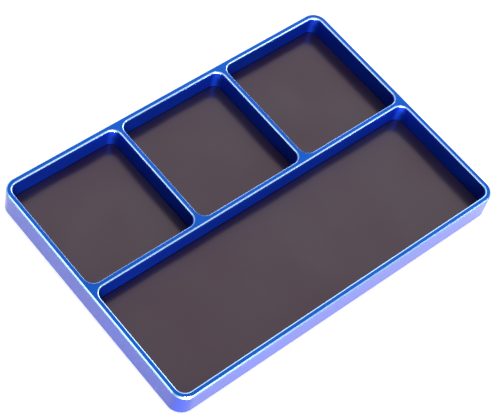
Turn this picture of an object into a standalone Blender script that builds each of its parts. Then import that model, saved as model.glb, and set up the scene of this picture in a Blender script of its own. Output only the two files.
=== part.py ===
"""A machined aluminium screw tray: one body with four pockets, a magnetic mat in each, and four rubber feet.

Sizes are in metres. The origin lies on the surface that the tray stands on, under the middle of the tray.
X runs along the tray, Y across it and Z up. The long pocket is on the -Y side.
"""

import math

import bmesh
import bpy
from mathutils import Matrix, Vector

COLLECTION_NAME = "screw_tray"
CUTTER_COLLECTION_NAME = "screw_tray_cutters"

# Tray body
TRAY_LENGTH = 0.145
TRAY_WIDTH = 0.100
BODY_HEIGHT = 0.0105
OUTER_WALL = 0.0022
CROSS_DIVIDER = 0.0022
LONG_DIVIDER = 0.0022
FLOOR_THICKNESS = 0.0015
OUTER_CORNER_RADIUS = 0.0055
EDGE_CHAMFER = 0.0005

# Pockets
SHORT_POCKETS = ("left", "middle", "right")
LONG_POCKET_WIDTH = 0.0467
POCKET_CORNER_RADIUS = 0.0035

# Mats, die cut from magnetic sheet and stuck down
MAT_THICKNESS = 0.0008
MAT_SIDE_CLEARANCE = 0.0003
MAT_ADHESIVE_GAP = 0.0003

# Rubber feet, each stuck into a shallow round seat under the body
FOOT_DIAMETER = 0.010
FOOT_THICKNESS = 0.0017
FOOT_EDGE_CHAMFER = 0.0003
FOOT_INSET = 0.012
FOOT_SEAT_DEPTH = 0.0005
FOOT_SEAT_CLEARANCE = 0.0003
FOOT_ADHESIVE_GAP = 0.0003

# Smoothness of the round shapes
CORNER_SEGMENTS = 10
FOOT_SEGMENTS = 48
SMOOTH_ANGLE = math.radians(30)

# How far a cutter reaches past the surface that it cuts
CUTTER_OVERRUN = 0.002


def body_bottom():
    """Height of the body's underside, which the feet hold off the surface."""
    return FOOT_THICKNESS + FOOT_ADHESIVE_GAP - FOOT_SEAT_DEPTH


def body_top():
    """Height of the rims."""
    return body_bottom() + BODY_HEIGHT


def pocket_floor():
    """Height of the pockets' machined floors."""
    return body_bottom() + FLOOR_THICKNESS


def pocket_boxes():
    """Each pocket's name with its plan limits as x0, x1, y0, y1."""
    inner_x = TRAY_LENGTH / 2 - OUTER_WALL
    inner_y = TRAY_WIDTH / 2 - OUTER_WALL
    long_far_side = -inner_y + LONG_POCKET_WIDTH
    short_near_side = long_far_side + LONG_DIVIDER
    count = len(SHORT_POCKETS)
    short_length = (2 * inner_x - (count - 1) * CROSS_DIVIDER) / count
    boxes = {}
    for index, name in enumerate(SHORT_POCKETS):
        start = -inner_x + index * (short_length + CROSS_DIVIDER)
        boxes[name] = (start, start + short_length, short_near_side, inner_y)
    boxes["long"] = (-inner_x, inner_x, -inner_y, long_far_side)
    return boxes


def foot_centres():
    """Each foot's name with the plan place of its axis."""
    x = TRAY_LENGTH / 2 - FOOT_INSET
    y = TRAY_WIDTH / 2 - FOOT_INSET
    return {
        "foot_left_near": (-x, -y),
        "foot_right_near": (x, -y),
        "foot_left_far": (-x, y),
        "foot_right_far": (x, y),
    }


def clear_scene():
    """Remove every object that the file starts with."""
    for obj in list(bpy.data.objects):
        bpy.data.objects.remove(obj, do_unlink=True)


def make_collection(name):
    """Make a collection and link it to the scene."""
    collection = bpy.data.collections.new(name)
    bpy.context.scene.collection.children.link(collection)
    return collection


def make_material(name, colour, roughness, metallic):
    """Make a Principled material from a linear colour, a roughness and a metallic value."""
    material = bpy.data.materials.new(name)
    material.use_nodes = True
    shader = material.node_tree.nodes["Principled BSDF"]
    shader.inputs["Base Color"].default_value = (*colour, 1.0)
    shader.inputs["Roughness"].default_value = roughness
    shader.inputs["Metallic"].default_value = metallic
    material.diffuse_color = (*colour, 1.0)
    return material


def add_object(name, bm, collection, material=None):
    """Turn a bmesh into a named object, shaded smooth between its sharp edges."""
    bmesh.ops.recalc_face_normals(bm, faces=bm.faces)
    mesh = bpy.data.meshes.new(name)
    bm.to_mesh(mesh)
    bm.free()
    mesh.shade_smooth()
    mesh.set_sharp_from_angle(angle=SMOOTH_ANGLE)
    if material:
        mesh.materials.append(material)
    obj = bpy.data.objects.new(name, mesh)
    collection.objects.link(obj)
    return obj


def add_cutter(name, bm, collection):
    """Add an object that only cuts others."""
    cutter = add_object(name, bm, collection)
    cutter.hide_render = True
    cutter.display_type = "WIRE"
    return cutter


def level_edges(bm, height):
    """The edges that lie flat at one height."""
    near = 1e-7
    return [e for e in bm.edges if all(abs(v.co.z - height) < near for v in e.verts)]


def rounded_block(limits, bottom, top, radius, bottom_chamfer=0.0, top_chamfer=0.0):
    """A block with round upright corners and, where a width is given, chamfers round its two flat faces."""
    x0, x1, y0, y1 = limits
    size = Vector((x1 - x0, y1 - y0, top - bottom))
    centre = Vector((x0 + x1, y0 + y1, bottom + top)) / 2
    bm = bmesh.new()
    bmesh.ops.create_cube(bm, size=1.0, matrix=Matrix.Translation(centre) @ Matrix.Diagonal((*size, 1.0)))
    flat = set(level_edges(bm, bottom) + level_edges(bm, top))
    upright = [e for e in bm.edges if e not in flat]
    bmesh.ops.bevel(
        bm,
        geom=upright,
        offset=radius,
        offset_type="OFFSET",
        segments=CORNER_SEGMENTS,
        profile=0.5,
        affect="EDGES",
    )
    for height, width in ((bottom, bottom_chamfer), (top, top_chamfer)):
        if width > 0:
            bmesh.ops.bevel(
                bm,
                geom=level_edges(bm, height),
                offset=width * math.sqrt(2),
                offset_type="WIDTH",
                segments=1,
                profile=0.5,
                affect="EDGES",
            )
    return bm


def disc(centre, bottom, top, diameter, bottom_chamfer=0.0):
    """An upright disc with its axis through a plan point."""
    bm = bmesh.new()
    place = Matrix.Translation((*centre, (bottom + top) / 2))
    bmesh.ops.create_cone(
        bm,
        cap_ends=True,
        segments=FOOT_SEGMENTS,
        radius1=diameter / 2,
        radius2=diameter / 2,
        depth=top - bottom,
        matrix=place,
    )
    if bottom_chamfer > 0:
        bmesh.ops.bevel(
            bm,
            geom=level_edges(bm, bottom),
            offset=bottom_chamfer * math.sqrt(2),
            offset_type="WIDTH",
            segments=1,
            profile=0.5,
            affect="EDGES",
        )
    return bm


def grown(limits, by):
    """Plan limits moved outwards all round, or inwards where the distance is negative."""
    x0, x1, y0, y1 = limits
    return (x0 - by, x1 + by, y0 - by, y1 + by)


def add_pocket_cutters(name, limits, collection):
    """The cutter for a pocket's walls and floor, and the flared one for the chamfer round its rim."""
    top = body_top()
    walls = rounded_block(limits, pocket_floor(), top + CUTTER_OVERRUN, POCKET_CORNER_RADIUS)
    add_cutter(f"cut_{name}_pocket", walls, collection)
    # The flare starts one chamfer below the rim chamfer and inside the pocket, and ends above the rim.
    flare = rounded_block(
        grown(limits, 2 * EDGE_CHAMFER),
        top - 2 * EDGE_CHAMFER,
        top + CUTTER_OVERRUN,
        POCKET_CORNER_RADIUS + 2 * EDGE_CHAMFER,
        bottom_chamfer=3 * EDGE_CHAMFER,
    )
    add_cutter(f"cut_{name}_rim", flare, collection)


def add_foot_seat_cutter(name, centre, collection):
    """The cutter for the shallow seat that a foot is stuck into."""
    seat = disc(
        centre,
        body_bottom() - CUTTER_OVERRUN,
        body_bottom() + FOOT_SEAT_DEPTH,
        FOOT_DIAMETER + 2 * FOOT_SEAT_CLEARANCE,
    )
    add_cutter(f"cut_{name}_seat", seat, collection)


def add_tray_body(collection, cutters, material):
    """The tray's body: a chamfered block with the pockets and the foot seats machined out of it."""
    limits = (-TRAY_LENGTH / 2, TRAY_LENGTH / 2, -TRAY_WIDTH / 2, TRAY_WIDTH / 2)
    block = rounded_block(
        limits,
        body_bottom(),
        body_top(),
        OUTER_CORNER_RADIUS,
        bottom_chamfer=EDGE_CHAMFER,
        top_chamfer=EDGE_CHAMFER,
    )
    body = add_object("tray_body", block, collection, material)
    for name, pocket in pocket_boxes().items():
        add_pocket_cutters(name, pocket, cutters)
    for name, centre in foot_centres().items():
        add_foot_seat_cutter(name, centre, cutters)
    machining = body.modifiers.new("machining", "BOOLEAN")
    machining.operation = "DIFFERENCE"
    machining.solver = "EXACT"
    machining.operand_type = "COLLECTION"
    machining.collection = cutters
    return body


def add_mat(name, limits, collection, material):
    """A mat that fills a pocket's floor, less its clearance to the walls."""
    bottom = pocket_floor() + MAT_ADHESIVE_GAP
    sheet = rounded_block(
        grown(limits, -MAT_SIDE_CLEARANCE),
        bottom,
        bottom + MAT_THICKNESS,
        POCKET_CORNER_RADIUS - MAT_SIDE_CLEARANCE,
    )
    return add_object(f"{name}_pocket_mat", sheet, collection, material)


def add_foot(name, centre, collection, material):
    """A round rubber foot that stands on the surface and reaches into its seat."""
    pad = disc(centre, 0.0, FOOT_THICKNESS, FOOT_DIAMETER, bottom_chamfer=FOOT_EDGE_CHAMFER)
    return add_object(name, pad, collection, material)


def main():
    """Build the tray."""
    clear_scene()
    parts = make_collection(COLLECTION_NAME)
    cutters = make_collection(CUTTER_COLLECTION_NAME)
    anodised = make_material("blue_anodised_aluminium", (0.012, 0.115, 0.58), 0.35, 1.0)
    magnetic_sheet = make_material("dark_magnetic_sheet", (0.08, 0.069, 0.084), 0.5, 0.0)
    rubber = make_material("black_rubber", (0.02, 0.02, 0.022), 0.7, 0.0)
    add_tray_body(parts, cutters, anodised)
    for name, pocket in pocket_boxes().items():
        add_mat(name, pocket, parts, magnetic_sheet)
    for name, centre in foot_centres().items():
        add_foot(name, centre, parts, rubber)


main()
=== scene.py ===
"""Looks of a machined aluminium screw tray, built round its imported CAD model.

The tray body, its magnetic mats and its rubber feet are rebuilt as fine meshes in the places that the
CAD nodes hold. Lengths are in metres, in the CAD model's own frame.
"""

import logging
import math
from dataclasses import dataclass, field
from enum import Enum

import bmesh
import bpy
from mathutils import Euler, Matrix, Vector


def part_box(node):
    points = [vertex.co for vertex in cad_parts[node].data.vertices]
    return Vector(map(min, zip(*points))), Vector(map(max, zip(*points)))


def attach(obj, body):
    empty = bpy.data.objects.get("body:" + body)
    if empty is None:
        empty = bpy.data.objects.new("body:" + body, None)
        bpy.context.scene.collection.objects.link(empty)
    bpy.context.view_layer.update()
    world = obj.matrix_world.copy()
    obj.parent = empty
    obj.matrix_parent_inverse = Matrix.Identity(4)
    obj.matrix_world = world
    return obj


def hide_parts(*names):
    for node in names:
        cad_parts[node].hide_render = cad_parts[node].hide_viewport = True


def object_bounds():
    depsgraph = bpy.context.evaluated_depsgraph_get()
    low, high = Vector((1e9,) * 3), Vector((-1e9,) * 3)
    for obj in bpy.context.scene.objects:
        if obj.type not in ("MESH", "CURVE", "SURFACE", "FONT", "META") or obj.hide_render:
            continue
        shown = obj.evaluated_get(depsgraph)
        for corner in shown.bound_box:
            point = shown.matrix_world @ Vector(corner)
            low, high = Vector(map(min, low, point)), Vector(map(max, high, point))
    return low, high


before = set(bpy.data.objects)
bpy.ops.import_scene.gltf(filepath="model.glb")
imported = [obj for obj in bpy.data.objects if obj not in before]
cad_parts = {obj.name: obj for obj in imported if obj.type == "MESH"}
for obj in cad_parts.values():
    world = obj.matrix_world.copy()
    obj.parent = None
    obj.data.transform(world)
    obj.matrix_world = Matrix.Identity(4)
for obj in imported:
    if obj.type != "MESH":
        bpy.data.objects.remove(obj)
CAD_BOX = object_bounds()

LOG = logging.getLogger("screw_tray")
BODY = "root"

# How far off a height a point may lie and still count as level with it
LEVEL_TOLERANCE = 2e-7

# How far apart two points of a seam may lie and still be welded
WELD_DISTANCE = 1e-6

CUBIC_MM_IN_CUBIC_M = 1e9

# The types of the sockets on node groups
GEOMETRY = "NodeSocketGeometry"
FLOAT = "NodeSocketFloat"
WHOLE = "NodeSocketInt"
FLAG = "NodeSocketBool"
VECTOR = "NodeSocketVector"
MATERIAL = "NodeSocketMaterial"

# The numbers of a Mix node's colour sockets, which share their names with its other sockets
MIX_FIRST = 6
MIX_SECOND = 7
MIX_RESULT = 2

# The stretch of the clouding noise over which a finish goes from its dark to its light colour
CLOUD_LOW = 0.35
CLOUD_HIGH = 0.65

Triple = tuple[float, float, float]
Colour = Triple
Input = bpy.types.Node | bpy.types.NodeSocket | float | int | tuple | bpy.types.Material

ORIGIN: Triple = (0.0, 0.0, 0.0)
WHITE: Colour = (1.0, 1.0, 1.0)


class Slot(Enum):
    """Names for the tray's material slots."""

    METAL = "anodised_aluminium"
    MAT = "magnetic_sheet"
    RUBBER = "foot_rubber"


class Surface(Enum):
    """The differently finished surfaces of the machined body."""

    LAND = "Land Material"
    CHAMFER = "Chamfer Material"
    SIDE = "Side Material"
    WALL = "Wall Material"
    UNDERSIDE = "Underside Material"


class Builder:
    """Adds nodes to one node tree and wires them by socket name."""

    def __init__(self, tree: bpy.types.NodeTree) -> None:
        """Work on a tree.

        Args:
            tree: The geometry or shader tree that the nodes go into.
        """
        self.tree = tree

    def node(
        self,
        kind: str,
        inputs: dict[str | int, Input] | None = None,
        settings: dict[str, object] | None = None,
    ) -> bpy.types.Node:
        """Add a node.

        Args:
            kind: The node's type name.
            inputs: What goes into its inputs, by socket name or number: a node, a socket or a plain value.
            settings: The node's own properties.

        Returns:
            The new node.
        """
        node = self.tree.nodes.new(kind)
        for key, value in (settings or {}).items():
            setattr(node, key, value)
        self.feed_all(node, inputs or {})
        return node

    def feed_all(self, node: bpy.types.Node, inputs: dict[str | int, Input]) -> None:
        """Feed several inputs of a node, by socket name or number."""
        for key, value in inputs.items():
            self.feed(node.inputs[key], value)

    def feed(self, socket: bpy.types.NodeSocket, value: Input) -> None:
        """Link a node or socket into a socket, or set a plain value on it.

        Args:
            socket: The input to feed.
            value: A node, whose first output is used, an output socket or a plain value.
        """
        if isinstance(value, bpy.types.Node):
            value = value.outputs[0]
        if isinstance(value, bpy.types.NodeSocket):
            self.tree.links.new(value, socket)
        else:
            socket.default_value = value

    def calculate(self, operation: str, first: Input, second: Input) -> bpy.types.Node:
        """Work out a value from two others with a math node."""
        return self.node("ShaderNodeMath", {0: first, 1: second}, {"operation": operation})


def new_group(
    name: str, kind: str, inputs: dict[str, str], outputs: dict[str, str]
) -> tuple[Builder, bpy.types.Node, bpy.types.Node]:
    """Start a node group with named sockets.

    Args:
        name: The group's name.
        kind: GeometryNodeTree or ShaderNodeTree.
        inputs: Socket types by input name.
        outputs: Socket types by output name.

    Returns:
        A builder for the group, its input node and its output node.
    """
    tree = bpy.data.node_groups.new(name, kind)
    for label, socket_type in inputs.items():
        tree.interface.new_socket(label, in_out="INPUT", socket_type=socket_type)
    for label, socket_type in outputs.items():
        tree.interface.new_socket(label, in_out="OUTPUT", socket_type=socket_type)
    return Builder(tree), tree.nodes.new("NodeGroupInput"), tree.nodes.new("NodeGroupOutput")


def new_material(name: str) -> tuple[bpy.types.Material, Builder, bpy.types.Node]:
    """Start a material.

    Args:
        name: The material's name.

    Returns:
        The material, a builder for its nodes and its Principled shader.
    """
    material = bpy.data.materials.new(name)
    material.use_nodes = True
    return material, Builder(material.node_tree), material.node_tree.nodes["Principled BSDF"]


def dull_material(name: str, colour: Colour) -> tuple[bpy.types.Material, Builder, bpy.types.Node]:
    """Start a material that has no gloss, for the studio's floor and cards.

    Args:
        name: The material's name.
        colour: Its colour.

    Returns:
        The material, a builder for its nodes and its Principled shader.
    """
    material, build, shader = new_material(name)
    build.feed_all(shader, {"Base Color": (*colour, 1.0), "Roughness": 1.0, "Specular IOR Level": 0.0})
    return material, build, shader


def add_object(name: str, data: bpy.types.ID) -> bpy.types.Object:
    """Put an object into the scene.

    Args:
        name: The object's name.
        data: Its mesh, light or camera.

    Returns:
        The object.
    """
    obj = bpy.data.objects.new(name, data)
    bpy.context.scene.collection.objects.link(obj)
    return obj


def object_from_bmesh(name: str, bm: bmesh.types.BMesh, material: bpy.types.Material) -> bpy.types.Object:
    """Turn a bmesh into an object of one material, and free it.

    Args:
        name: The object's name.
        bm: The bmesh.
        material: The object's material.

    Returns:
        The object.
    """
    mesh = bpy.data.meshes.new(name)
    bm.to_mesh(mesh)
    bm.free()
    mesh.materials.append(material)
    return add_object(name, mesh)


def flat_panel(
    name: str, width: float, height: float, place: Matrix, material: bpy.types.Material
) -> bpy.types.Object:
    """Make a flat rectangle.

    Args:
        name: The panel's name.
        width: Its size along its own X.
        height: Its size along its own Y.
        place: Where its middle lies and how it is turned.
        material: Its material.

    Returns:
        The panel.
    """
    bm = bmesh.new()
    stretch = Matrix.Diagonal((width / 2, height / 2, 1.0, 1.0))
    bmesh.ops.create_grid(bm, x_segments=1, y_segments=1, size=1.0, matrix=place @ stretch)
    return object_from_bmesh(name, bm, material)


@dataclass
class Toolbox:
    """The geometry node groups that every machined or cut shape here is made with."""

    outline: bpy.types.NodeTree = field(init=False)
    band: bpy.types.NodeTree = field(init=False)
    cap: bpy.types.NodeTree = field(init=False)

    def __post_init__(self) -> None:
        """Build the groups."""
        self.outline = self.build_outline()
        self.band = self.build_band()
        self.cap = self.build_cap()

    def build_outline(self) -> bpy.types.NodeTree:
        """Build the group that draws a level rectangle with round corners.

        Returns:
            The group, with Size, Centre, Radius and Corner Steps.
        """
        sockets = {"Size": VECTOR, "Centre": VECTOR, "Radius": FLOAT, "Corner Steps": WHOLE}
        build, given, result = new_group("rounded_outline", "GeometryNodeTree", sockets, {"Curve": GEOMETRY})
        size = build.node("ShaderNodeSeparateXYZ", {"Vector": given.outputs["Size"]})
        rectangle = build.node(
            "GeometryNodeCurvePrimitiveQuadrilateral",
            {"Width": size.outputs["X"], "Height": size.outputs["Y"]},
        )
        rounded = build.node(
            "GeometryNodeFilletCurve",
            {
                "Curve": rectangle,
                "Count": given.outputs["Corner Steps"],
                "Radius": given.outputs["Radius"],
                "Limit Radius": True,
            },
            {"mode": "POLY"},
        )
        level = build.node("GeometryNodeSetCurveNormal", {"Curve": rounded}, {"mode": "Z_UP"})
        placed = build.node(
            "GeometryNodeTransform", {"Geometry": level, "Translation": given.outputs["Centre"]}
        )
        build.feed(result.inputs["Curve"], placed)
        return build.tree

    def build_band(self) -> bpy.types.NodeTree:
        """Build the group that sweeps one straight strip along an outline.

        A strip that runs downwards faces away from the outline's middle, and one that runs upwards faces it.

        Returns:
            The group, with the strip's two edges as a distance out of the outline and a height.
        """
        sockets = {
            "Outline": GEOMETRY,
            "Start Offset": FLOAT,
            "Start Height": FLOAT,
            "End Offset": FLOAT,
            "End Height": FLOAT,
            "Material": MATERIAL,
        }
        build, given, result = new_group("swept_band", "GeometryNodeTree", sockets, {"Mesh": GEOMETRY})
        ends = []
        for end in ("Start", "End"):
            down = build.calculate("MULTIPLY", given.outputs[f"{end} Height"], -1.0)
            ends.append(build.node("ShaderNodeCombineXYZ", {"X": given.outputs[f"{end} Offset"], "Y": down}))
        profile = build.node("GeometryNodeCurvePrimitiveLine", {"Start": ends[0], "End": ends[1]})
        swept = build.node(
            "GeometryNodeCurveToMesh", {"Curve": given.outputs["Outline"], "Profile Curve": profile}
        )
        dressed = build.node(
            "GeometryNodeSetMaterial", {"Geometry": swept, "Material": given.outputs["Material"]}
        )
        build.feed(result.inputs["Mesh"], dressed)
        return build.tree

    def build_cap(self) -> bpy.types.NodeTree:
        """Build the group that fills between the edges of a mesh that lie at one height.

        Returns:
            The group. Its face looks up, or down where Face Down is set.
        """
        sockets = {"Mesh": GEOMETRY, "Height": FLOAT, "Face Down": FLAG, "Material": MATERIAL}
        build, given, result = new_group("level_cap", "GeometryNodeTree", sockets, {"Mesh": GEOMETRY})
        place = build.node("ShaderNodeSeparateXYZ", {"Vector": build.node("GeometryNodeInputPosition")})
        at_height = build.node(
            "FunctionNodeCompare",
            {"A": place.outputs["Z"], "B": given.outputs["Height"], "Epsilon": LEVEL_TOLERANCE},
            {"data_type": "FLOAT", "operation": "EQUAL"},
        )
        edges = build.node("GeometryNodeMeshToCurve", {"Mesh": given.outputs["Mesh"], "Selection": at_height})
        filled = build.node("GeometryNodeFillCurve", {"Curve": edges}, {"mode": "TRIANGLES"})
        lift = build.node("ShaderNodeCombineXYZ", {"Z": given.outputs["Height"]})
        placed = build.node("GeometryNodeTransform", {"Geometry": filled, "Translation": lift})
        turned = build.node(
            "GeometryNodeFlipFaces", {"Mesh": placed, "Selection": given.outputs["Face Down"]}
        )
        dressed = build.node(
            "GeometryNodeSetMaterial", {"Geometry": turned, "Material": given.outputs["Material"]}
        )
        build.feed(result.inputs["Mesh"], dressed)
        return build.tree


@dataclass
class Shape:
    """A geometry node tree under construction, with the toolbox's groups at hand."""

    name: str
    sockets: dict[str, str]
    tools: Toolbox
    build: Builder = field(init=False)
    given: bpy.types.Node = field(init=False)
    result: bpy.types.Node = field(init=False)

    def __post_init__(self) -> None:
        """Start the tree."""
        self.build, self.given, self.result = new_group(
            self.name, "GeometryNodeTree", self.sockets, {"Mesh": GEOMETRY}
        )

    def value(self, name: str) -> bpy.types.NodeSocket:
        """Give one of the tree's named inputs."""
        return self.given.outputs[name]

    def plus(self, first: Input, second: Input) -> bpy.types.Node:
        """Add two values."""
        return self.build.calculate("ADD", first, second)

    def minus(self, first: Input, second: Input) -> bpy.types.Node:
        """Take the second value from the first."""
        return self.build.calculate("SUBTRACT", first, second)

    def times(self, first: Input, second: Input) -> bpy.types.Node:
        """Multiply two values."""
        return self.build.calculate("MULTIPLY", first, second)

    def use(self, group: bpy.types.NodeTree, inputs: dict[str | int, Input]) -> bpy.types.Node:
        """Place one of the toolbox's groups."""
        return self.build.node("GeometryNodeGroup", inputs, {"node_tree": group})

    def outline(self, size: str, radius: str, centre: Input = ORIGIN) -> bpy.types.Node:
        """Draw a level rectangle with round corners.

        Args:
            size: The name of the input that holds its size.
            radius: The name of the input that holds the radius of its corners.
            centre: Its middle in plan.

        Returns:
            The outline.
        """
        inputs = {
            "Size": self.value(size),
            "Centre": centre,
            "Radius": self.value(radius),
            "Corner Steps": self.value("Corner Steps"),
        }
        return self.use(self.tools.outline, inputs)

    def bands(
        self, outline: Input, rings: list[tuple[Input, Input]], material: Input
    ) -> list[bpy.types.Node]:
        """Sweep straight strips along an outline, from each ring to the next.

        Args:
            outline: The outline.
            rings: The strips' edges, each as a distance out of the outline and a height.
            material: The strips' material.

        Returns:
            The strips.
        """
        return [
            self.use(
                self.tools.band,
                {
                    "Outline": outline,
                    "Start Offset": start[0],
                    "Start Height": start[1],
                    "End Offset": end[0],
                    "End Height": end[1],
                    "Material": material,
                },
            )
            for start, end in zip(rings, rings[1:])
        ]

    def cap(self, mesh: Input, height: Input, material: Input, face_down: bool = False) -> bpy.types.Node:
        """Fill between the edges of a mesh that lie at one height.

        Args:
            mesh: The mesh.
            height: The height.
            material: The face's material.
            face_down: Whether the face looks down.

        Returns:
            The face.
        """
        inputs = {"Mesh": mesh, "Height": height, "Face Down": face_down, "Material": material}
        return self.use(self.tools.cap, inputs)

    def repeat(self, mesh: Input, points: Input) -> bpy.types.Node:
        """Place a copy of a mesh at each of some points."""
        placed = self.build.node("GeometryNodeInstanceOnPoints", {"Points": points, "Instance": mesh})
        return self.build.node("GeometryNodeRealizeInstances", {"Geometry": placed})

    def join(self, *meshes: Input) -> bpy.types.Node:
        """Join meshes without welding them.

        Args:
            meshes: The meshes.

        Returns:
            The joined mesh.
        """
        joined = self.build.node("GeometryNodeJoinGeometry")
        for mesh in meshes:
            self.build.feed(joined.inputs["Geometry"], mesh)
        return joined

    def finish(self, mesh: Input) -> bpy.types.NodeTree:
        """Weld the shape's seams and end the tree.

        Args:
            mesh: The joined shape.

        Returns:
            The finished tree.
        """
        real = self.build.node("GeometryNodeRealizeInstances", {"Geometry": mesh})
        welded = self.build.node(
            "GeometryNodeMergeByDistance", {"Geometry": real, "Distance": WELD_DISTANCE}
        )
        self.build.feed(self.result.inputs["Mesh"], welded)
        return self.build.tree


def piece_from_tree(name: str, tree: bpy.types.NodeTree, values: dict[str, Input]) -> bpy.types.Object:
    """Run a geometry node tree once and keep its result as a plain mesh.

    Args:
        name: The new piece's name.
        tree: The tree.
        values: What goes into its named inputs.

    Returns:
        An object at the origin whose mesh holds the shape.
    """
    host = add_object(f"{name}_host", bpy.data.meshes.new(f"{name}_host"))
    modifier = host.modifiers.new("shape", "NODES")
    modifier.node_group = tree
    for item in tree.interface.items_tree:
        if item.in_out == "INPUT" and item.name in values:
            modifier[item.identifier] = values[item.name]
    host.update_tag()
    graph = bpy.context.evaluated_depsgraph_get()
    mesh = bpy.data.meshes.new_from_object(host.evaluated_get(graph), depsgraph=graph)
    bpy.data.objects.remove(host, do_unlink=True)
    mesh.name = name
    return add_object(name, mesh)


def seat_piece(piece: bpy.types.Object, node: str, smooth_angle: float) -> None:
    """Shade a piece and let it stand for its CAD node.

    Args:
        piece: The finished piece.
        node: The CAD node that it replaces.
        smooth_angle: The angle in degrees past which an edge stays sharp.
    """
    piece.data.shade_smooth()
    piece.data.set_sharp_from_angle(angle=math.radians(smooth_angle))
    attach(piece, BODY)
    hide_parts(node)


def report_piece(piece: bpy.types.Object) -> None:
    """Log a piece's faces, open edges and volume. A closed piece has no open edges.

    Args:
        piece: The finished piece.
    """
    bm = bmesh.new()
    bm.from_mesh(piece.data)
    open_edges = sum(not edge.is_manifold for edge in bm.edges)
    volume = bm.calc_volume(signed=True) * CUBIC_MM_IN_CUBIC_M
    faces = len(bm.faces)
    bm.free()
    LOG.info("%s: %d faces, %d open edges, %.0f mm3", piece.name, faces, open_edges, volume)


def surface_texture_group() -> bpy.types.NodeTree:
    """Build the shader group that gives a finish its fine grain, its broad clouding and its waves.

    Returns:
        The group. Stretch scales the coordinates, so that the grain can run as streaks.
    """
    sockets = {"Grain Scale": FLOAT, "Cloud Scale": FLOAT, "Wave Scale": FLOAT, "Stretch": VECTOR}
    build, given, result = new_group(
        "surface_texture", "ShaderNodeTree", sockets, {"Grain": FLOAT, "Cloud": FLOAT, "Wave": FLOAT}
    )
    place = build.node("ShaderNodeTexCoord").outputs["Object"]
    stretched = build.node(
        "ShaderNodeVectorMath", {0: place, 1: given.outputs["Stretch"]}, {"operation": "MULTIPLY"}
    )
    grain = build.node(
        "ShaderNodeTexNoise",
        {"Vector": stretched, "Scale": given.outputs["Grain Scale"], "Detail": 3.0, "Roughness": 0.6},
    )
    cloud = build.node(
        "ShaderNodeTexNoise",
        {"Vector": place, "Scale": given.outputs["Cloud Scale"], "Detail": 2.0, "Roughness": 0.5},
    )
    wave = build.node(
        "ShaderNodeTexNoise", {"Vector": place, "Scale": given.outputs["Wave Scale"], "Detail": 0.0}
    )
    patches = build.node(
        "ShaderNodeMapRange",
        {"Value": cloud.outputs["Fac"], "From Min": CLOUD_LOW, "From Max": CLOUD_HIGH},
    )
    build.feed_all(result, {"Grain": grain.outputs["Fac"], "Cloud": patches, "Wave": wave.outputs["Fac"]})
    return build.tree


@dataclass(frozen=True)
class Finish:
    """What one surface looks like: two close colours, gloss, grain, gentle waves and a clear coat."""

    name: str
    light: Colour
    dark: Colour
    metallic: float
    roughness: float
    roughness_spread: float
    grain_scale: float
    cloud_scale: float
    bump_depth: float
    bump_strength: float
    stretch: Triple = (1.0, 1.0, 1.0)
    ior: float = 1.5
    coat_weight: float = 0.0
    coat_roughness: float = 0.1
    coat_ior: float = 1.5
    gloss_tint: Colour = WHITE
    upright_spread: float = 0.0
    wave_scale: float = 50.0
    wave_depth: float = 0.0

    def material(self, texture: bpy.types.NodeTree) -> bpy.types.Material:
        """Build the finish's material.

        Args:
            texture: The shared surface texture group.

        Returns:
            The material.
        """
        material, build, shader = new_material(self.name)
        pattern = build.node(
            "ShaderNodeGroup",
            {
                "Grain Scale": self.grain_scale,
                "Cloud Scale": self.cloud_scale,
                "Wave Scale": self.wave_scale,
                "Stretch": self.stretch,
            },
            {"node_tree": texture},
        )
        colour = build.node(
            "ShaderNodeMix",
            {
                "Factor": pattern.outputs["Cloud"],
                MIX_FIRST: (*self.dark, 1.0),
                MIX_SECOND: (*self.light, 1.0),
            },
            {"data_type": "RGBA"},
        )
        gloss = build.node(
            "ShaderNodeMapRange",
            {
                "Value": pattern.outputs["Grain"],
                "To Min": self.roughness - self.roughness_spread,
                "To Max": self.roughness + self.roughness_spread,
            },
        )
        relief = build.node(
            "ShaderNodeBump",
            {
                "Height": pattern.outputs["Grain"],
                "Strength": self.bump_strength,
                "Distance": self.bump_depth,
            },
        )
        if self.wave_depth > 0:
            relief = build.node(
                "ShaderNodeBump",
                {"Height": pattern.outputs["Wave"], "Distance": self.wave_depth, "Normal": relief},
            )
        build.feed_all(
            shader,
            {
                "Base Color": colour.outputs[MIX_RESULT],
                "Roughness": gloss,
                "Normal": relief,
                "Metallic": self.metallic,
                "IOR": self.ior,
                "Coat Weight": self.coat_weight,
                "Coat Roughness": self.coat_roughness,
                "Coat IOR": self.coat_ior,
                "Specular Tint": (*self.gloss_tint, 1.0),
            },
        )
        if self.upright_spread > 0:
            upright = build.node("ShaderNodeCombineXYZ", {"Z": 1.0})
            build.feed_all(shader, {"Anisotropic": self.upright_spread, "Tangent": upright})
        return material


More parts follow.
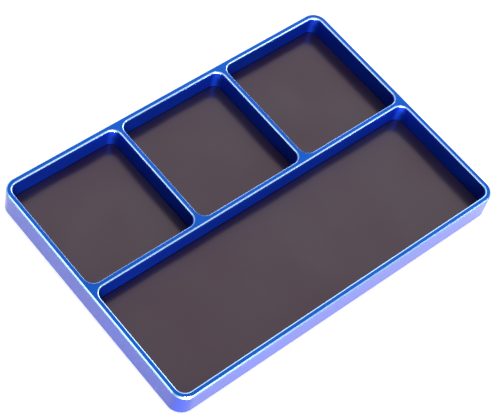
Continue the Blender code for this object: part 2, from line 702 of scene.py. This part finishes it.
ANODISED_LAND = Finish(
    name="anodised_land",
    light=(0.0078, 0.075, 0.385),
    dark=(0.007, 0.068, 0.35),
    metallic=1.0,
    roughness=0.34,
    roughness_spread=0.05,
    grain_scale=5000.0,
    cloud_scale=60.0,
    bump_depth=0.00002,
    bump_strength=0.25,
)
ANODISED_SIDE = Finish(
    name="anodised_side",
    light=(0.0, 0.031, 0.41),
    dark=(0.0, 0.027, 0.372),
    metallic=1.0,
    roughness=0.46,
    roughness_spread=0.05,
    grain_scale=4000.0,
    cloud_scale=60.0,
    bump_depth=0.00002,
    bump_strength=0.25,
    coat_weight=1.0,
    coat_roughness=0.15,
    coat_ior=1.515,
    upright_spread=0.3,
)
MILLED_WALL = Finish(
    name="anodised_milled_wall",
    light=(0.006, 0.033, 0.38),
    dark=(0.005, 0.028, 0.33),
    metallic=1.0,
    roughness=0.5,
    roughness_spread=0.05,
    grain_scale=900.0,
    cloud_scale=50.0,
    bump_depth=0.00002,
    bump_strength=0.2,
    stretch=(0.3, 0.3, 8.0),
    gloss_tint=(0.15, 0.25, 1.0),
    upright_spread=0.5,
)
BRIGHT_CUT = Finish(
    name="bright_cut_chamfer",
    light=(0.42, 0.66, 1.0),
    dark=(0.38, 0.62, 1.0),
    metallic=1.0,
    roughness=0.26,
    roughness_spread=0.04,
    grain_scale=3000.0,
    cloud_scale=80.0,
    bump_depth=0.00001,
    bump_strength=0.2,
    stretch=(1.0, 1.0, 3.0),
    coat_weight=1.0,
    coat_roughness=0.15,
    coat_ior=1.6,
)
MAGNETIC_SHEET = Finish(
    name="magnetic_sheet_vinyl",
    light=(0.054, 0.043, 0.054),
    dark=(0.045, 0.024, 0.037),
    metallic=0.0,
    roughness=0.21,
    roughness_spread=0.03,
    grain_scale=4000.0,
    cloud_scale=28.0,
    bump_depth=0.00002,
    bump_strength=0.15,
    gloss_tint=(1.0, 0.76, 0.88),
    wave_scale=60.0,
    wave_depth=0.0003,
)
FOOT_RUBBER = Finish(
    name="moulded_foot_rubber",
    light=(0.022, 0.022, 0.024),
    dark=(0.014, 0.014, 0.016),
    metallic=0.0,
    roughness=0.62,
    roughness_spread=0.08,
    grain_scale=3500.0,
    cloud_scale=200.0,
    bump_depth=0.00005,
    bump_strength=0.35,
)


def crowned_edge(spread: float, steps: int) -> list[tuple[float, float]]:
    """Work out the section of a cut edge that is a little rounder than a flat chamfer.

    Args:
        spread: How far in degrees its slope departs from 45 degrees at its two ends.
        steps: The number of strips across it.

    Returns:
        Points from the wall up to the top, each as a share of the chamfer's width: the distance that it
        lies in from the wall, and its depth under the top.
    """
    turn = math.radians(spread)
    radius = 1.0 / (math.sqrt(2.0) * math.sin(turn))
    centre = 0.5 + radius * math.cos(turn) / math.sqrt(2.0)
    slopes = [math.radians(45.0) + turn - 2.0 * turn * step / steps for step in range(steps + 1)]
    return [(centre - radius * math.sin(slope), centre - radius * math.cos(slope)) for slope in slopes]


@dataclass
class TrayBody:
    """The machined body: walls, bright rims, pockets, underside and the seats of the feet."""

    tools: Toolbox
    wall: float = 0.0022
    divider: float = 0.0022
    floor_thickness: float = 0.0015
    chamfer: float = 0.0005
    corner_radius: float = 0.0055
    pocket_radius: float = 0.0035
    long_pocket_width: float = 0.0467
    short_pockets: int = 3
    seat_depth: float = 0.0005
    seat_clearance: float = 0.0003
    seat_segments: int = 64
    corner_steps: int = 24
    outer_edge_spread: float = 3.0
    edge_spread: float = 23.0
    long_edge_spread: float = 40.0
    edge_steps: int = 5
    smooth_angle: float = 18.0
    node: str = "tray_body"
    low: Vector = field(init=False)
    high: Vector = field(init=False)

    def __post_init__(self) -> None:
        """Read the body's place from the frame."""
        self.low, self.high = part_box(self.node)

    def pocket_sizes(self) -> dict[str, Input]:
        """Work out where the pockets lie.

        Returns:
            The tree's inputs that size and place the pockets.
        """
        inner = self.high - self.low - Vector((2 * self.wall, 2 * self.wall, 0))
        short_length = (inner.x - (self.short_pockets - 1) * self.divider) / self.short_pockets
        short_width = inner.y - self.long_pocket_width - self.divider
        near = self.low.y + self.wall
        far = self.high.y - self.wall
        first = self.low.x + self.wall + short_length / 2
        return {
            "Short Pocket Size": (short_length, short_width, 0.0),
            "First Short Pocket": (first, far - short_width / 2, 0.0),
            "Short Pocket Pitch": (short_length + self.divider, 0.0, 0.0),
            "Short Pockets": self.short_pockets,
            "Long Pocket Size": (inner.x, self.long_pocket_width, 0.0),
            "Long Pocket": (0.0, near + self.long_pocket_width / 2, 0.0),
        }

    def seat_sizes(self) -> dict[str, Input]:
        """Work out the seats from the feet in the frame.

        Returns:
            The tree's inputs that size and place the seats.
        """
        low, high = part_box("foot_right_far")
        centre = (low + high) / 2
        return {
            "Seat Radius": (high.x - low.x) / 2 + self.seat_clearance,
            "Seat Spread X": 2 * centre.x,
            "Seat Spread Y": 2 * centre.y,
            "Seat Depth": self.seat_depth,
        }

    def cut_edge(self, shape: Shape, outline: Input, side: float, spread: float) -> list[bpy.types.Node]:
        """Add the bright cut edge between a wall and the land.

        Args:
            shape: The body's tree.
            outline: The wall's outline.
            side: 1 where the land lies outside the outline and -1 where it lies inside.
            spread: How round the edge is, in degrees.

        Returns:
            The strips of the edge.
        """
        top = shape.value("Top")
        chamfer = shape.value("Chamfer")
        rings = [
            (shape.times(chamfer, side * inset), shape.minus(top, shape.times(chamfer, depth)))
            for inset, depth in crowned_edge(spread, self.edge_steps)
        ]
        # The first ring lies right on the wall and the last right at the top, so that the seams close.
        rings[0] = (0.0, rings[0][1])
        rings[-1] = (rings[-1][0], top)
        if side < 0:
            rings.reverse()
        return shape.bands(outline, rings, shape.value(Surface.CHAMFER.value))

    def pocket(self, shape: Shape, size: str, centre: Input, spread: float) -> bpy.types.Node:
        """Add a pocket's skin: its floor, its walls and the cut edge round its rim.

        Args:
            shape: The body's tree.
            size: The name of the input that holds the pocket's size.
            centre: The pocket's middle in plan.
            spread: How round its cut edge is, in degrees.

        Returns:
            The joined skin.
        """
        outline = shape.outline(size, "Pocket Radius", centre)
        finish = shape.value(Surface.WALL.value)
        bottom = shape.value("Pocket Floor")
        shoulder = shape.minus(shape.value("Top"), shape.value("Chamfer"))
        walls = shape.bands(outline, [(0.0, bottom), (0.0, shoulder)], finish)
        floor = shape.cap(walls[0], bottom, finish)
        return shape.join(*walls, floor, *self.cut_edge(shape, outline, 1.0, spread))

    def seats(self, shape: Shape) -> bpy.types.Node:
        """Add the round seats under the body, one at each corner of a rectangle.

        Args:
            shape: The body's tree.

        Returns:
            The seats' skin.
        """
        circle = shape.build.node(
            "GeometryNodeCurvePrimitiveCircle",
            {"Resolution": self.seat_segments, "Radius": shape.value("Seat Radius")},
        )
        level = shape.build.node("GeometryNodeSetCurveNormal", {"Curve": circle}, {"mode": "Z_UP"})
        finish = shape.value(Surface.UNDERSIDE.value)
        bottom = shape.value("Bottom")
        seat_top = shape.plus(bottom, shape.value("Seat Depth"))
        wall = shape.bands(level, [(0.0, seat_top), (0.0, bottom)], finish)[0]
        inward = shape.build.node("GeometryNodeFlipFaces", {"Mesh": wall})
        roof = shape.cap(wall, seat_top, finish, face_down=True)
        corners = shape.build.node(
            "GeometryNodeMeshGrid",
            {
                "Size X": shape.value("Seat Spread X"),
                "Size Y": shape.value("Seat Spread Y"),
                "Vertices X": 2,
                "Vertices Y": 2,
            },
        )
        return shape.repeat(shape.join(inward, roof), corners.outputs["Mesh"])

    def tree(self) -> bpy.types.NodeTree:
        """Build the body's tree.

        Returns:
            The tree, with the body's sizes and materials as named inputs.
        """
        sockets = {
            "Body Size": VECTOR,
            "Bottom": FLOAT,
            "Top": FLOAT,
            "Corner Radius": FLOAT,
            "Corner Steps": WHOLE,
            "Chamfer": FLOAT,
            "Pocket Floor": FLOAT,
            "Pocket Radius": FLOAT,
            "Short Pocket Size": VECTOR,
            "First Short Pocket": VECTOR,
            "Short Pocket Pitch": VECTOR,
            "Short Pockets": WHOLE,
            "Long Pocket Size": VECTOR,
            "Long Pocket": VECTOR,
            "Seat Radius": FLOAT,
            "Seat Spread X": FLOAT,
            "Seat Spread Y": FLOAT,
            "Seat Depth": FLOAT,
        }
        sockets.update({surface.value: MATERIAL for surface in Surface})
        shape = Shape("machined_tray_body", sockets, self.tools)
        outline = shape.outline("Body Size", "Corner Radius")
        top = shape.value("Top")
        bottom = shape.value("Bottom")
        chamfer = shape.value("Chamfer")
        rim = shape.join(*self.cut_edge(shape, outline, -1.0, self.outer_edge_spread))
        side_rings = [
            (0.0, shape.minus(top, chamfer)),
            (0.0, shape.plus(bottom, chamfer)),
            (shape.times(chamfer, -1.0), bottom),
        ]
        side, lower_edge = shape.bands(outline, side_rings, shape.value(Surface.SIDE.value))
        places = shape.build.node(
            "GeometryNodeMeshLine",
            {
                "Count": shape.value("Short Pockets"),
                "Start Location": shape.value("First Short Pocket"),
                "Offset": shape.value("Short Pocket Pitch"),
            },
        )
        shorts = shape.repeat(self.pocket(shape, "Short Pocket Size", ORIGIN, self.edge_spread), places)
        long = self.pocket(shape, "Long Pocket Size", shape.value("Long Pocket"), self.long_edge_spread)
        seats = self.seats(shape)
        land = shape.cap(shape.join(rim, shorts, long), top, shape.value(Surface.LAND.value))
        underside = shape.cap(
            shape.join(lower_edge, seats), bottom, shape.value(Surface.UNDERSIDE.value), face_down=True
        )
        return shape.finish(shape.join(rim, side, lower_edge, shorts, long, seats, land, underside))

    def make(self, materials: dict[Surface, bpy.types.Material]) -> bpy.types.Object:
        """Make the body.

        Args:
            materials: The material of each kind of surface.

        Returns:
            The finished piece.
        """
        size = self.high - self.low
        values: dict[str, Input] = {
            "Body Size": (size.x, size.y, 0.0),
            "Bottom": self.low.z,
            "Top": self.high.z,
            "Corner Radius": self.corner_radius,
            "Corner Steps": self.corner_steps,
            "Chamfer": self.chamfer,
            "Pocket Floor": self.low.z + self.floor_thickness,
            "Pocket Radius": self.pocket_radius,
        }
        values.update(self.pocket_sizes())
        values.update(self.seat_sizes())
        values.update({surface.value: material for surface, material in materials.items()})
        piece = piece_from_tree("machined_tray_body", self.tree(), values)
        seat_piece(piece, self.node, self.smooth_angle)
        return piece


@dataclass
class PocketMats:
    """The four magnetic mats, die cut from sheet."""

    tools: Toolbox
    nodes: tuple[str, ...] = ("left_pocket_mat", "middle_pocket_mat", "right_pocket_mat", "long_pocket_mat")
    corner_radius: float = 0.0032
    edge_round: float = 0.00012
    edge_steps: int = 3
    corner_steps: int = 16
    smooth_angle: float = 12.0

    def tree(self) -> bpy.types.NodeTree:
        """Build the tree of one mat.

        Returns:
            The tree, with the mat's size, place and material as named inputs.
        """
        sockets = {
            "Size": VECTOR,
            "Centre": VECTOR,
            "Radius": FLOAT,
            "Corner Steps": WHOLE,
            "Bottom": FLOAT,
            "Top": FLOAT,
            "Edge Round": FLOAT,
            "Sheet Material": MATERIAL,
        }
        shape = Shape("die_cut_mat", sockets, self.tools)
        top = shape.value("Top")
        bottom = shape.value("Bottom")
        edge_round = shape.value("Edge Round")
        material = shape.value("Sheet Material")
        outline = shape.outline("Size", "Radius", shape.value("Centre"))
        turns = [math.pi / 2 * step / self.edge_steps for step in range(self.edge_steps + 1)]
        rings = [
            (
                shape.times(edge_round, math.sin(turn) - 1.0),
                shape.plus(top, shape.times(edge_round, math.cos(turn) - 1.0)),
            )
            for turn in turns
        ]
        rings.append((0.0, bottom))
        bands = shape.bands(outline, rings, material)
        upper = shape.cap(bands[0], top, material)
        under = shape.cap(bands[-1], bottom, material, face_down=True)
        return shape.finish(shape.join(*bands, upper, under))

    def make(self, material: bpy.types.Material) -> list[bpy.types.Object]:
        """Make the mats.

        Args:
            material: The sheet's material.

        Returns:
            The finished pieces.
        """
        tree = self.tree()
        pieces = []
        for node in self.nodes:
            low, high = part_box(node)
            centre = (low + high) / 2
            values: dict[str, Input] = {
                "Size": (high.x - low.x, high.y - low.y, 0.0),
                "Centre": (centre.x, centre.y, 0.0),
                "Radius": self.corner_radius,
                "Corner Steps": self.corner_steps,
                "Bottom": low.z,
                "Top": high.z,
                "Edge Round": self.edge_round,
                "Sheet Material": material,
            }
            piece = piece_from_tree(f"{node}_sheet", tree, values)
            seat_piece(piece, node, self.smooth_angle)
            pieces.append(piece)
        return pieces


@dataclass
class Feet:
    """The four moulded rubber feet."""

    nodes: tuple[str, ...] = ("foot_left_near", "foot_right_near", "foot_left_far", "foot_right_far")
    segments: int = 72
    edge_round: float = 0.0004
    edge_steps: int = 4
    smooth_angle: float = 30.0

    def make(self, material: bpy.types.Material) -> list[bpy.types.Object]:
        """Make the feet.

        Args:
            material: The rubber's material.

        Returns:
            The finished pieces.
        """
        pieces = []
        for node in self.nodes:
            low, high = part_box(node)
            radius = (high.x - low.x) / 2
            bm = bmesh.new()
            bmesh.ops.create_cone(
                bm,
                cap_ends=True,
                segments=self.segments,
                radius1=radius,
                radius2=radius,
                depth=high.z - low.z,
                matrix=Matrix.Translation((low + high) / 2),
            )
            lower_edges = [
                edge
                for edge in bm.edges
                if all(abs(vertex.co.z - low.z) < LEVEL_TOLERANCE for vertex in edge.verts)
            ]
            bmesh.ops.bevel(
                bm,
                geom=lower_edges,
                offset=self.edge_round,
                segments=self.edge_steps,
                profile=0.5,
                affect="EDGES",
            )
            bmesh.ops.recalc_face_normals(bm, faces=bm.faces)
            piece = object_from_bmesh(f"{node}_pad", bm, material)
            seat_piece(piece, node, self.smooth_angle)
            pieces.append(piece)
        return pieces


@dataclass(frozen=True)
class SoftBox:
    """A soft rectangular lamp, aimed at the tray."""

    name: str
    place: Triple
    width: float
    height: float
    power: float
    gloss_only: bool = True
    reaches_mats: bool = False

    def make(self, target: Vector, mats: list[bpy.types.Object]) -> None:
        """Make the lamp.

        Args:
            target: The point that it is aimed at.
            mats: The mats, which the lamp is kept off unless reaches_mats is set.
        """
        light = bpy.data.lights.new(self.name, "AREA")
        light.shape = "RECTANGLE"
        light.size = self.width
        light.size_y = self.height
        light.energy = self.power
        lamp = add_object(self.name, light)
        lamp.visible_diffuse = not self.gloss_only
        lamp.location = self.place
        lamp.rotation_euler = (target - Vector(self.place)).to_track_quat("-Z", "Y").to_euler()
        if not self.reaches_mats:
            self.keep_off(lamp, mats)

    def keep_off(self, lamp: bpy.types.Object, pieces: list[bpy.types.Object]) -> None:
        """Keep the lamp off some pieces, as a flag beside it would.

        Args:
            lamp: The lamp.
            pieces: The pieces that it doesn't light.
        """
        flagged = bpy.data.collections.new(f"{self.name}_flagged")
        for piece in pieces:
            flagged.objects.link(piece)
        for entry in flagged.collection_objects:
            entry.light_linking.link_state = "EXCLUDE"
        lamp.light_linking.receiver_collection = flagged


@dataclass(frozen=True)
class DarkCard:
    """A black card that only gloss mirrors, like a gap between the lamps or below them."""

    name: str
    place: Triple
    width: float
    height: float
    colour: Colour = (0.01, 0.01, 0.01)

    def make(self, target: Vector) -> None:
        """Make the card.

        Args:
            target: The point that it faces.
        """
        material = dull_material(self.name, self.colour)[0]
        facing = (target - Vector(self.place)).to_track_quat("Z", "Y").to_matrix().to_4x4()
        place = Matrix.Translation(self.place) @ facing
        card = flat_panel(self.name, self.width, self.height, place, material)
        card.visible_camera = False
        card.visible_diffuse = False


@dataclass
class Studio:
    """The camera, the pale floor, the white surroundings, the soft lamps and the dark cards."""

    camera_place: Triple = (-0.25961, -0.19007, 0.46634)
    camera_turn: Triple = (33.3137, -8.4418, -39.1184)
    lens: float = 116.147
    sensor_width: float = 36.0
    shift_x: float = 0.0674
    nearest_seen: float = 0.01
    farthest_seen: float = 50.0
    floor_size: float = 6.0
    floor_gap: float = 0.0001
    floor_colour: Colour = (0.80, 0.80, 0.80)
    floor_glow: float = 0.80
    fill: float = 0.38
    reflected: float = 0.70
    lamps: tuple[SoftBox, ...] = (
        SoftBox("key_softbox", (-0.355, -0.976, 0.60), 0.45, 0.6, 10.0),
        SoftBox("streak_softbox", (-0.38, -1.045, 0.45), 0.35, 0.35, 32.0),
        SoftBox("corner_softbox", (-0.78, -0.76, 0.05), 0.4, 0.08, 30.0),
        SoftBox("front_left_softbox", (0.250, -1.060, 0.550), 0.24, 0.34, 1.3),
        SoftBox("front_right_softbox", (0.773, -0.774, 0.520), 0.22, 0.34, 2.0),
        SoftBox("back_softbox", (0.655, 0.560, 0.835), 1.4, 1.2, 5.3, gloss_only=False, reaches_mats=True),
        SoftBox("low_softbox", (0.600, 0.810, 0.289), 0.5, 0.25, 0.8),
        SoftBox("right_softbox", (0.972, 0.051, 0.393), 0.6, 0.36, 4.0, gloss_only=False),
        SoftBox("left_softbox", (-1.0, 0.40, 0.56), 0.5, 0.4, 1.3),
    )
    cards: tuple[DarkCard, ...] = (
        DarkCard("front_dark_card", (0.475, -0.880, 0.13), 0.17, 0.26),
        DarkCard("left_dark_card", (-1.466, 0.206, 0.28), 1.8, 0.46),
    )

    def make_camera(self) -> None:
        """Set the camera at the photograph's viewing angle."""
        data = bpy.data.cameras.new("camera")
        data.lens = self.lens
        data.sensor_width = self.sensor_width
        data.sensor_fit = "HORIZONTAL"
        data.shift_x = self.shift_x
        data.clip_start = self.nearest_seen
        data.clip_end = self.farthest_seen
        camera = add_object("camera", data)
        camera.location = self.camera_place
        camera.rotation_euler = Euler([math.radians(turn) for turn in self.camera_turn], "XYZ")
        bpy.context.scene.camera = camera

    def floor_material(self) -> bpy.types.Material:
        """Build the floor's material: pale, and lifted to white for the camera and for reflections.

        Returns:
            The material.
        """
        material, build, shader = dull_material("studio_floor", self.floor_colour)
        path = build.node("ShaderNodeLightPath")
        seen = build.calculate("MAXIMUM", path.outputs["Is Camera Ray"], path.outputs["Is Glossy Ray"])
        glow = build.calculate("MULTIPLY", seen, self.floor_glow)
        build.feed_all(shader, {"Emission Color": (*WHITE, 1.0), "Emission Strength": glow})
        return material

    def make_floor(self) -> None:
        """Lay the floor that the tray stands on."""
        place = Matrix.Translation((0.0, 0.0, CAD_BOX[0].z - self.floor_gap))
        material = self.floor_material()
        floor = flat_panel("studio_floor", self.floor_size, self.floor_size, place, material)

    def make_world(self) -> None:
        """Surround the tray with even pale light, which the camera sees as white."""
        world = bpy.data.worlds.new("studio")
        bpy.context.scene.world = world
        world.use_nodes = True
        build = Builder(world.node_tree)
        path = build.node("ShaderNodeLightPath")
        level = build.node(
            "ShaderNodeMapRange",
            {"Value": path.outputs["Is Glossy Ray"], "To Min": self.fill, "To Max": self.reflected},
        )
        strength = build.calculate("MAXIMUM", level, path.outputs["Is Camera Ray"])
        background = world.node_tree.nodes["Background"]
        build.feed_all(background, {"Color": (*WHITE, 1.0), "Strength": strength})

    def make(self, target: Vector, mats: list[bpy.types.Object]) -> None:
        """Make the studio.

        Args:
            target: The point that the lamps and the cards face.
            mats: The mats, which most of the lamps are kept off.
        """
        self.make_world()
        self.make_floor()
        self.make_camera()
        for lamp in self.lamps:
            lamp.make(target, mats)
        for card in self.cards:
            card.make(target)
        bpy.context.scene.view_settings.view_transform = "Standard"


def main() -> None:
    """Build the tray and its studio, and report each piece."""
    logging.basicConfig(level=logging.INFO, format="%(name)s: %(message)s")
    tools = Toolbox()
    texture = surface_texture_group()
    land = ANODISED_LAND.material(texture)
    body = TrayBody(tools).make(
        {
            Surface.LAND: land,
            Surface.CHAMFER: BRIGHT_CUT.material(texture),
            Surface.SIDE: ANODISED_SIDE.material(texture),
            Surface.WALL: MILLED_WALL.material(texture),
            Surface.UNDERSIDE: land,
        }
    )
    mats = PocketMats(tools).make(MAGNETIC_SHEET.material(texture))
    feet = Feet().make(FOOT_RUBBER.material(texture))
    for piece in (body, *mats, *feet):
        report_piece(piece)
    low, high = CAD_BOX
    Studio().make((low + high) / 2, mats)


if __name__ == "__main__":
    main()
